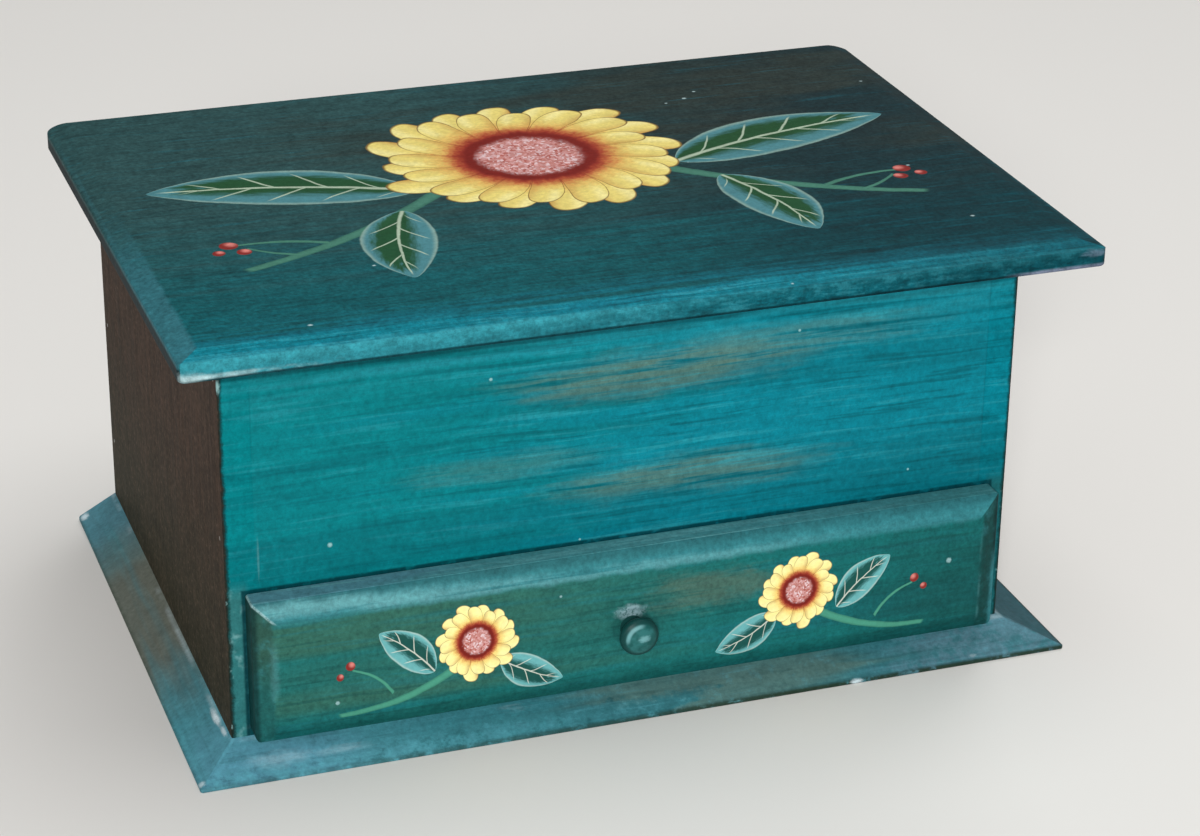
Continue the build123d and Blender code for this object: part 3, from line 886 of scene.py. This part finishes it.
def makeSidePaint(name, woodStretch):
    # brown outside and bare inside; the front edge carries the face's teal up to a ragged, rubbed
    # arris, where a distance that is positive on the edge and negative round the corner is nought
    material, shader, place = newMaterial(name, 0.6, 0.03)
    x, y, z = axes(place)
    teal = frontColour(place)[0]
    upright = useGroup(bristleMarks, place, front.sideStretch, 5.0)
    brown = makeSideBrown(place, z, upright)
    fromArris = minus(fromEnds(x, leftLow, rightHigh), minus(y, frontLow.y))
    ragged = minus(noise(place, 230.0, 4.0, 0.75), 0.4)
    fromArris = minus(fromArris, times(ragged, 2.8 * mm))
    colour = mixColour(fade(fromArris, 0.0, 0.5 * mm), brown, teal)
    arris = between(size(minus(fromArris, 0.1 * mm)), 1.4, 0.4)
    colour = lay(colour, front.arris, arris, 0.75)
    colour = lay(colour, front.worn, patch(place, *front.chip, 0.5), 0.8)
    flakes = fade(noise(place, 260.0, 3.0, 0.7), 0.62, 0.7)
    flakes = times(arris, flakes, between(z, 100, 40))
    colour = lay(colour, front.worn, flakes, 0.5)
    bare = between(insideCase(place), 9.4, 9.7)
    colour = lay(colour, bareWood(place, woodStretch), bare)
    finishCoat(shader, colour, upright["Fine"], 0.5, upright["Fine"], 0.12 * mm)
    return material


drawerFinish = dict(
    green=paint(18, 101, 100),
    olive=paint(50, 98, 84),
    blue=paint(26, 110, 118),
    dusk=paint(15, 70, 68),
    bevelTop=paint(54, 126, 134),
    bevelDeep=paint(42, 98, 106),
    pale=paint(104, 164, 168),
    strip=paint(86, 138, 151),
    stripGreen=paint(74, 140, 145),
    sideBevel=paint(42, 78, 68),
    sideBevelLow=paint(26, 86, 84),
    rightBevel=paint(16, 62, 60),
    foot=paint(10, 70, 68),
    dark=paint(6, 38, 38),
    umber=paint(76, 100, 86),
    smear=paint(150, 180, 188),
    worn=paint(160, 196, 198),
    bevel=6.5 * mm,
    stretch=(18.0, 520.0, 520.0),
    strokes=(("Fine", 0.48, 0.34, 0.42, "dusk"), ("Fine", 0.55, 0.7, 0.3, "blue")),
    stain=((22 * mm, drawerLow.y, 42.5 * mm), (30 * mm, 1.0, 8 * mm)),
    knobSmear=((-6 * mm, drawerLow.y, 38.4 * mm), (6.2 * mm, 1.0, 3.4 * mm)),
    knobFoot=(-5.5 * mm, drawerLow.y, 33 * mm),
    dots=(
        ((-105.0, 22.0), 0.9), ((108.0, 39.0), 1.2), ((-30.0, 48.0), 0.6),
    ),
)
drawer = SimpleNamespace(**drawerFinish)

drawerDesign = dict(
    flower=((56, 36.5), 14.5, 12.0, 0.3, 0.4, 24.0),
    flowerTurn=10.0,
    stems=(
        ((60, 30), -17.0, 44, 1.7, -0.08),
        ((84, 22.5), 38.0, 17, 0.7, 0.1),
    ),
    leaves=(
        ((70, 28), 42.0, 25, 0.25, 0.05, 4.0),
        ((48, 29), 207.0, 24, 0.25, 0.06, 4.0),
    ),
    berries=(
        ((98, 34.5), 1.7), ((101.5, 31), 1.3),
    ),
    petal=paint(240, 206, 118),
    petalTip=paint(246, 234, 156),
    stem=paint(74, 150, 126),
    stemDark=paint(44, 104, 88),
    rim=paint(108, 178, 180),
    inside=paint(26, 78, 72),
    vein=paint(222, 226, 212),
)


def drawerGuides(place):
    # what the drawer front's coats share: the brush marks, the distance from each edge, and
    # whether a point belongs to the top bevel or to the ends
    at = SimpleNamespace(place=place)
    at.x, at.y, at.z = axes(place)
    at.marks = useGroup(bristleMarks, place, drawer.stretch, 23.0)
    at.across = plus(at.x, swing(at.marks["Middle"], 90 * mm))
    at.corner = between(at.across, 45, 120)
    at.fromSide = fromEnds(at.x, drawerLow, drawerHigh)
    at.fromTop = minus(drawerHigh.z, at.z)
    at.fromFoot = minus(at.z, drawerLow.z)
    at.toLeft = between(at.x, 10, -10)
    at.upper = between(minus(at.fromSide, at.fromTop), -0.2, 0.2)
    at.toEnds = opposite(at.upper)
    at.uneven = swing(at.marks["Cloud"], 3 * mm)
    return at


def makeDrawerFace(at):
    # a mottled green, more olive at the left and darker in the lower right corner
    broad = fade(at.marks["Broad"], 0.46, 0.62)
    leftward = between(at.x, 60, -80)
    colour = lay(drawer.green, drawer.olive, broad, leftward, 0.9)
    colour = lay(colour, drawer.blue, fade(at.marks["Middle"], 0.46, 0.64), 0.45)
    low = ramp(between(at.z, 52, 38), 0.4, 0.35)
    colour = lay(colour, drawer.dusk, at.corner, low)
    return addStrokes(colour, drawerFinish, at.marks, drawer.strokes)


def addDrawerTopBevel(colour, at):
    # a band below the top edge, painted darker towards the edge as shade, and a painted
    # highlight in pale strokes along its lower end that widens to the left and fades to the right
    bevel = drawer.bevel
    inBand = fade(plus(at.fromTop, at.uneven), bevel + 2.2 * mm, bevel - 0.8 * mm)
    # painted shade: the band is darker towards the top edge
    depth = between(at.fromTop, 0.2, 4.5)
    band = mixColour(depth, drawer.bevelDeep, drawer.bevelTop)
    colour = lay(colour, band, inBand, at.upper, 0.8)
    nearLeft = between(at.across, -20, -80)
    fromInner = plus(minus(at.fromTop, bevel - 0.4 * mm), at.uneven)
    fromInner = ramp(between(at.x, -84, -110), 1.6 * mm, fromInner)
    fromInner = size(ramp(nearLeft, 1.4 * mm, fromInner))
    reach = ramp(nearLeft, 1.4 * mm, 2.4 * mm)
    # a painted highlight in pale strokes along the band's lower end
    paleBand = times(fade(fromInner, reach, 0.3 * mm), at.upper)
    paleBand = times(paleBand, fade(at.marks["Fine"], 0.3, 0.52))
    nearRight = between(at.across, 15, 75)
    share = ramp(nearLeft, 0.27, ramp(nearRight, -0.38, 0.44))
    return lay(colour, drawer.pale, paleBand, share)


def addDrawerEdges(colour, at):
    # painted shade on the foot bevel and on the end bevels with their outer edges, darkest on the
    # right, then the thin top strip, a painted highlight along the left mitre and a thin painted
    # highlight where each end bevel meets the face
    bevel = drawer.bevel
    # painted shade on the foot bevel, which faces down
    foot = fade(plus(at.fromFoot, at.uneven), bevel + 0.5 * mm, 1.5 * mm)
    colour = lay(colour, drawer.foot, foot, 0.6)
    # painted shade: the end bevels darker than the face, olive at the upper left and darkest on the
    # right
    upward = between(at.z, 24, 44)
    ends = mixColour(upward, drawer.sideBevelLow, drawer.sideBevel)
    ends = mixColour(at.toLeft, drawer.rightBevel, ends)
    ends = lay(ends, drawer.bevelTop, fade(at.marks["Cloud"], 0.5, 0.66), 0.3)
    onEnds = fade(at.fromSide, bevel + 0.6 * mm, bevel - 1.2 * mm)
    colour = lay(colour, ends, onEnds, at.toEnds, 0.85)
    # painted shade along the outer edge of each end bevel, lighter in the lower right
    lowRight = times(between(at.x, -10, 10), between(at.z, 42, 30))
    edge = mixColour(lowRight, drawer.dark, drawer.bevelTop)
    colour = lay(colour, edge, between(at.fromSide, 2.4, 0.7), at.toEnds, 0.75)

    leftEnd = between(at.across, -95, -55)
    strip = mixColour(leftEnd, drawer.strip, drawer.stripGreen)
    strip = lay(strip, drawer.pale, fade(at.marks["Fine"], 0.5, 0.66), 0.6)
    strip = lay(strip, drawer.dusk, at.corner, 0.3)
    colour = lay(colour, strip, between(at.fromTop, 0.15, 0.04), 0.95)
    # a painted highlight along the left mitre, in the pale colour of the wear
    mitre = between(size(minus(at.fromSide, at.fromTop)), 0.9, 0.2)
    mitre = times(mitre, fade(at.fromTop, bevel + 1 * mm, bevel - 0.5 * mm), at.toLeft)
    colour = lay(colour, drawer.worn, mitre, fade(at.marks["Grain"], 0.26, 0.5), 0.6)
    # a thin painted highlight where each end bevel meets the face, below the top corners
    width = ramp(at.toLeft, 1.4 * mm, 0.9 * mm)
    inner = useGroup(brokenLine, minus(at.fromSide, bevel), width, at.place, 0.4)[0]
    inner = times(inner, fade(at.fromTop, bevel + 4 * mm, bevel + 14 * mm))
    return lay(colour, drawer.pale, inner, between(at.fromFoot, 2, 8), 0.22)


def makeDrawerPaint():
    # the face and its decoration, the bevels over them, wear above the knob and a painted shadow
    # around it
    material, shader, place = newMaterial("drawerPaint", 0.48, 0.08)
    at = drawerGuides(place)
    colour = makeDrawerFace(at)
    colour = addDrawerTopBevel(colour, at)
    stain = patch(place, *drawer.stain, 0.8, 5.0)
    stain = times(stain, fade(at.marks["Fine"], 0.24, 0.5))
    colour = lay(colour, drawer.umber, stain, 0.7)
    plane = handPlane(place, at.x, at.z, 0.7 * mm, True)
    decorated, painted = addSprigs(colour, plane, plane, drawerDesign)
    onFace = fade(at.y, drawerLow.y + 3 * mm, drawerLow.y + 1 * mm)
    colour = lay(colour, decorated, onFace)
    colour = addDrawerEdges(colour, at)
    smear = patch(place, *drawer.knobSmear, 0.5, 2.0)
    colour = lay(colour, drawer.smear, smear, fade(at.marks["Grain"], 0.3, 0.52), 0.8)
    # a painted shadow round the knob's foot
    around = calcVector("DISTANCE", place, drawer.knobFoot)
    colour = lay(colour, drawer.dark, between(around, 7.6, 6.0), 0.3)
    dots = faceDots(drawer.dots, drawerLow.y, 0.7)
    colour = addBlots(colour, place, drawer.worn, dots, 0.4)
    plain = opposite(times(painted, onFace, 0.7))
    for kind, amount in (("Grain", 0.6), ("Cloud", 0.3)):
        colour = vary(colour, ramp(minus(at.marks[kind], 0.5), plain, 0.5), amount)
    behind = fade(at.y, drawerHigh.y - 0.12 * mm, drawerHigh.y - 0.02 * mm)
    colour = lay(colour, bareWood(place, wood.alongX), behind)
    height = plus(at.marks["Fine"], times(painted, onFace, 0.6))
    finishCoat(shader, colour, at.marks["Fine"], 0.4, height, 0.1 * mm)
    return material


knobFinish = dict(
    green=paint(26, 84, 82),
    light=paint(46, 108, 107),
    glance=paint(128, 184, 188),
    rim=paint(13, 56, 54),
    smear=((0.8 * mm, -4 * mm, 0.4 * mm), (2.6 * mm, 8 * mm, 1.5 * mm)),
)
knob = SimpleNamespace(**knobFinish)


def makeKnobPaint():
    # cloudy green with painted shade that darkens it to the rim and over its neck, a painted
    # highlight arc high on its left, along a circle within the rim, and a painted highlight smear
    # near its middle
    material, shader, place = newMaterial("knobPaint", 0.42, 0.12)
    spot = calcVector("SUBTRACT", place, tuple((knobLow + knobHigh) / 2))
    x, y, z = axes(spot)
    far = calc("SQRT", plus(times(x, x), times(z, z)))
    cloud = noise(place, 300.0, 2.0, 0.5)
    colour = mixColour(fade(cloud, 0.38, 0.66), knob.green, knob.light)
    # painted shade darkening the face towards its rim
    ring = between(plus(far, swing(cloud, 1.2 * mm)), 4.4, 5.9)
    colour = lay(colour, knob.rim, ring, 0.9)
    # a painted highlight arc high on the left
    arc = between(size(minus(far, 4.5 * mm)), 0.9, 0.2)
    arc = times(arc, between(minus(z, x), 2.5, 5.5))
    colour = lay(colour, knob.glance, arc, 0.6)
    # a painted highlight smear near the middle
    colour = lay(colour, knob.glance, patch(spot, *knob.smear, 0.5, 2.0), 0.6)
    # painted shade over the neck, behind the face
    colour = lay(colour, knob.rim, opposite(fade(y, 1.5 * mm, 0.0)))
    feed(shader.inputs["Base Color"], colour)
    roughen(shader, cloud, 0.06 * mm, 0.4)
    return material


baseFinish = dict(
    blue=paint(54, 122, 131),
    slate=paint(50, 98, 103),
    mauve=paint(88, 124, 138),
    umber=paint(92, 118, 108),
    dark=paint(32, 70, 74),
    aqua=paint(88, 160, 174),
    lavender=paint(88, 144, 166),
    aged=paint(104, 104, 92),
    grime=paint(34, 50, 36),
    shade=paint(30, 58, 64),
    worn=paint(206, 224, 230),
    underside=paint(96, 76, 56),
    stretch=(22.0, 480.0, 480.0),
    endStretch=(480.0, 22.0, 480.0),
    sponging=(("Sponged", 0.48, 0.32, 0.24, "dark"), ("Sponged", 0.53, 0.7, 0.26, "aqua")),
    strokes=(("Fine", 0.5, 0.34, 0.26, "dark"), ("Fine", 0.58, 0.72, 0.3, "aqua")),
    leftLight=((baseLow.x, baseLow.y, 4 * mm), (105 * mm, 70 * mm, 1.0)),
    cornerLight=((-138 * mm, -98 * mm, 5 * mm), (44 * mm, 30 * mm, 1.0)),
    agedPatch=((baseLow.x, 12 * mm, 4 * mm), (1.0, 72 * mm, 1.0)),
    chips=(
        ((74.0, -101.5, 0.8), (3.0, 1.4, 1.0), 0.8),
        ((-139.3, -70.0, 8.8), (1.4, 8.0, 2.0), 1.0),
        ((-138.8, -80.0, 8.8), (1.0, 4.0, 2.0), 0.7),
        ((-150.5, -99.0, 1.5), (1.8, 1.8, 1.5), 0.6),
        ((-150.0, 99.0, 3.0), (2.2, 3.0, 3.0), 0.8),
        ((118.0, -99.5, 1.8), (2.2, 1.2, 0.8), 0.3),
        ((-124.0, -98.0, 5.5), (16.0, 6.0, 3.0), 0.22),
        ((-44.0, -96.0, 7.0), (12.0, 6.0, 1.6), 0.3),
        ((-104.0, -99.0, 4.5), (14.0, 6.0, 1.2), 0.2),
    ),
)
base = SimpleNamespace(**baseFinish)


def makeBasePaint():
    # blue greys sponged over strokes that follow each bevel; browner under the drawer, mauve at
    # the right, pale at the near corner, aged along the left end, and darker along the lower edge
    # with grime and painted contact shadow
    material, shader, place = newMaterial("basePaint", 0.55, 0.06)
    x, y, z = axes(place)
    fromEnd = minus(baseHigh.x, size(x))
    fromFront = minus(y, baseLow.y)
    toEnds = between(minus(fromFront, fromEnd), -0.4, 0.4)
    frontMarks = useGroup(bristleMarks, place, base.stretch, 31.0)
    endMarks = useGroup(bristleMarks, place, base.endStretch, 37.0)
    kinds = ("Fine", "Middle", "Broad")
    marks = {kind: mixColour(toEnds, frontMarks[kind], endMarks[kind]) for kind in kinds}
    marks["Sponged"] = noise(place, 210.0, 4.0, 0.7)
    broad = fade(marks["Broad"], 0.38, 0.58)
    colour = mixColour(broad, base.slate, base.blue)
    drift = swing(marks["Middle"], 90 * mm)
    across = plus(x, drift)
    toMiddle = times(between(across, -40, -5), between(across, 90, 60))
    height = plus(z, swing(marks["Sponged"], 6 * mm))
    height = plus(height, times(between(across, 5, 40), 5 * mm))
    colour = lay(colour, base.umber, toMiddle, between(height, 3.4, 5.4), 0.6)
    toRight = between(across, 76, 118)
    colour = lay(colour, base.mauve, toRight, fade(marks["Sponged"], 0.36, 0.58), 0.75)
    toLeft = patch(place, *base.leftLight, 0.5, 3.0)
    colour = lay(colour, base.aqua, toLeft, 0.55)
    nearCorner = patch(place, *base.cornerLight, 0.7, 8.0)
    nearCorner = times(nearCorner, fade(marks["Middle"], 0.3, 0.56))
    colour = lay(colour, base.lavender, nearCorner, 0.6)
    colour = addStrokes(colour, baseFinish, marks, base.sponging)
    colour = lay(colour, base.mauve, toRight, 0.2)
    colour = addStrokes(colour, baseFinish, marks, base.strokes)

    # the end bevels: lighter, mauve at the far end, aged half way and shaded at the right
    colour = lay(colour, base.aqua, toEnds, 0.3)
    farEnd = between(plus(y, drift), 62, 88)
    colour = lay(colour, base.mauve, farEnd, toEnds, 0.5)
    aged = times(patch(place, *base.agedPatch, 0.25, 6.0), toEnds)
    colour = lay(colour, base.aged, aged, fade(marks["Middle"], 0.2, 0.55), 0.9)
    colour = lay(colour, base.shade, toEnds, between(x, 100, 120), 0.65)
    lower = between(z, 4.8, 2.2)
    lightFoot = times(lower, between(x, 20, -120), opposite(toEnds))
    colour = lay(colour, base.aqua, lightFoot, fade(marks["Sponged"], 0.38, 0.56), 0.6)
    # darker along the lower edge: grime and painted contact shadow
    grime = times(between(z, 1.9, 1.1), fade(marks["Sponged"], 0.72, 0.5))
    rightward = ramp(between(x, -130, 60), 0.55, 0.4)
    colour = lay(colour, base.grime, grime, rightward)
    seam = useGroup(brokenLine, minus(z, baseHigh.z - 0.5 * mm), 0.8 * mm, place, 0.42)[0]
    colour = lay(colour, base.worn, seam, 0.25)
    chips = [
        (tuple(c * mm for c in spot), tuple(c * mm for c in reach), share)
        for spot, reach, share in base.chips
    ]
    colour = addBlots(colour, place, base.worn, chips, 0.4)
    colour = vary(vary(colour, frontMarks["Grain"], 0.4), frontMarks["Cloud"], 0.3)
    bay = between(insideCase(place), 9.4, 9.9)
    onTop = fade(z, baseHigh.z - 0.4 * mm, baseHigh.z - 0.1 * mm)
    colour = lay(colour, bareWood(place, wood.alongX), bay, onTop)
    colour = lay(colour, base.underside, between(z, 0.12, 0.02))
    finishCoat(shader, colour, marks["Fine"], 0.46, marks["Fine"], 0.12 * mm)
    return material


def makeBarePine(name, stretch):
    material, shader, place = newMaterial(name, 0.6, 0.25)
    feed(shader.inputs["Base Color"], bareWood(place, stretch))
    pores = noise(stretched(place, stretch), 6.0, 3.0, 0.6)
    roughen(shader, pores, 0.1 * mm, 0.5)
    return material


metalFinish = dict(
    brass=paint(176, 142, 78),
    brassDull=paint(112, 84, 44),
    steel=paint(140, 138, 134),
    steelDull=paint(84, 78, 72),
)


def makeMetal(name, clean, dull):
    material, shader, place = newMaterial(name, 0.38, 0.5)
    shader.inputs["Metallic"].default_value = 1.0
    tarnish = noise(place, 320.0, 4.0, 0.65)
    colour = mixColour(fade(tarnish, 0.4, 0.65), metalFinish[clean], metalFinish[dull])
    feed(shader.inputs["Base Color"], colour)
    feed(shader.inputs["Roughness"], ramp(tarnish, 0.5, 0.16))
    roughen(shader, tarnish, 0.05 * mm, 0.4)
    return material


def dress(names, material):
    for name in names:
        mesh = nodes[name].data
        mesh.materials.clear()
        mesh.materials.append(material)


makeCamera()
makeStudio()
print("camera and light done")
dress(["lid_board"], makeLidPaint())
dress(["front_board"], makeFrontPaint())
dress(["left_side_board", "right_side_board"], makeSidePaint("sidePaint", wood.alongY))
dress(["back_board"], makeSidePaint("backPaint", wood.alongX))
dress(["drawer_front"], makeDrawerPaint())
dress(["drawer_knob"], makeKnobPaint())
dress(["base_board"], makeBasePaint())
print("paints done")
pineAcross = makeBarePine("barePineAcross", wood.alongX)
dress(["compartment_floor", "drawer_bottom", "drawer_back"], pineAcross)
dress(["drawer_left_side", "drawer_right_side"], makeBarePine("barePineAlong", wood.alongY))
brassNodes = [name for name in nodes if "hinge" in name or "leaf" in name]
dress(brassNodes, makeMetal("agedBrass", "brass", "brassDull"))
steelNodes = ["base_screws", "knob_screw", "case_brads", "drawer_brads"]
dress(steelNodes, makeMetal("dullSteel", "steel", "steelDull"))
print("wood and metal done")
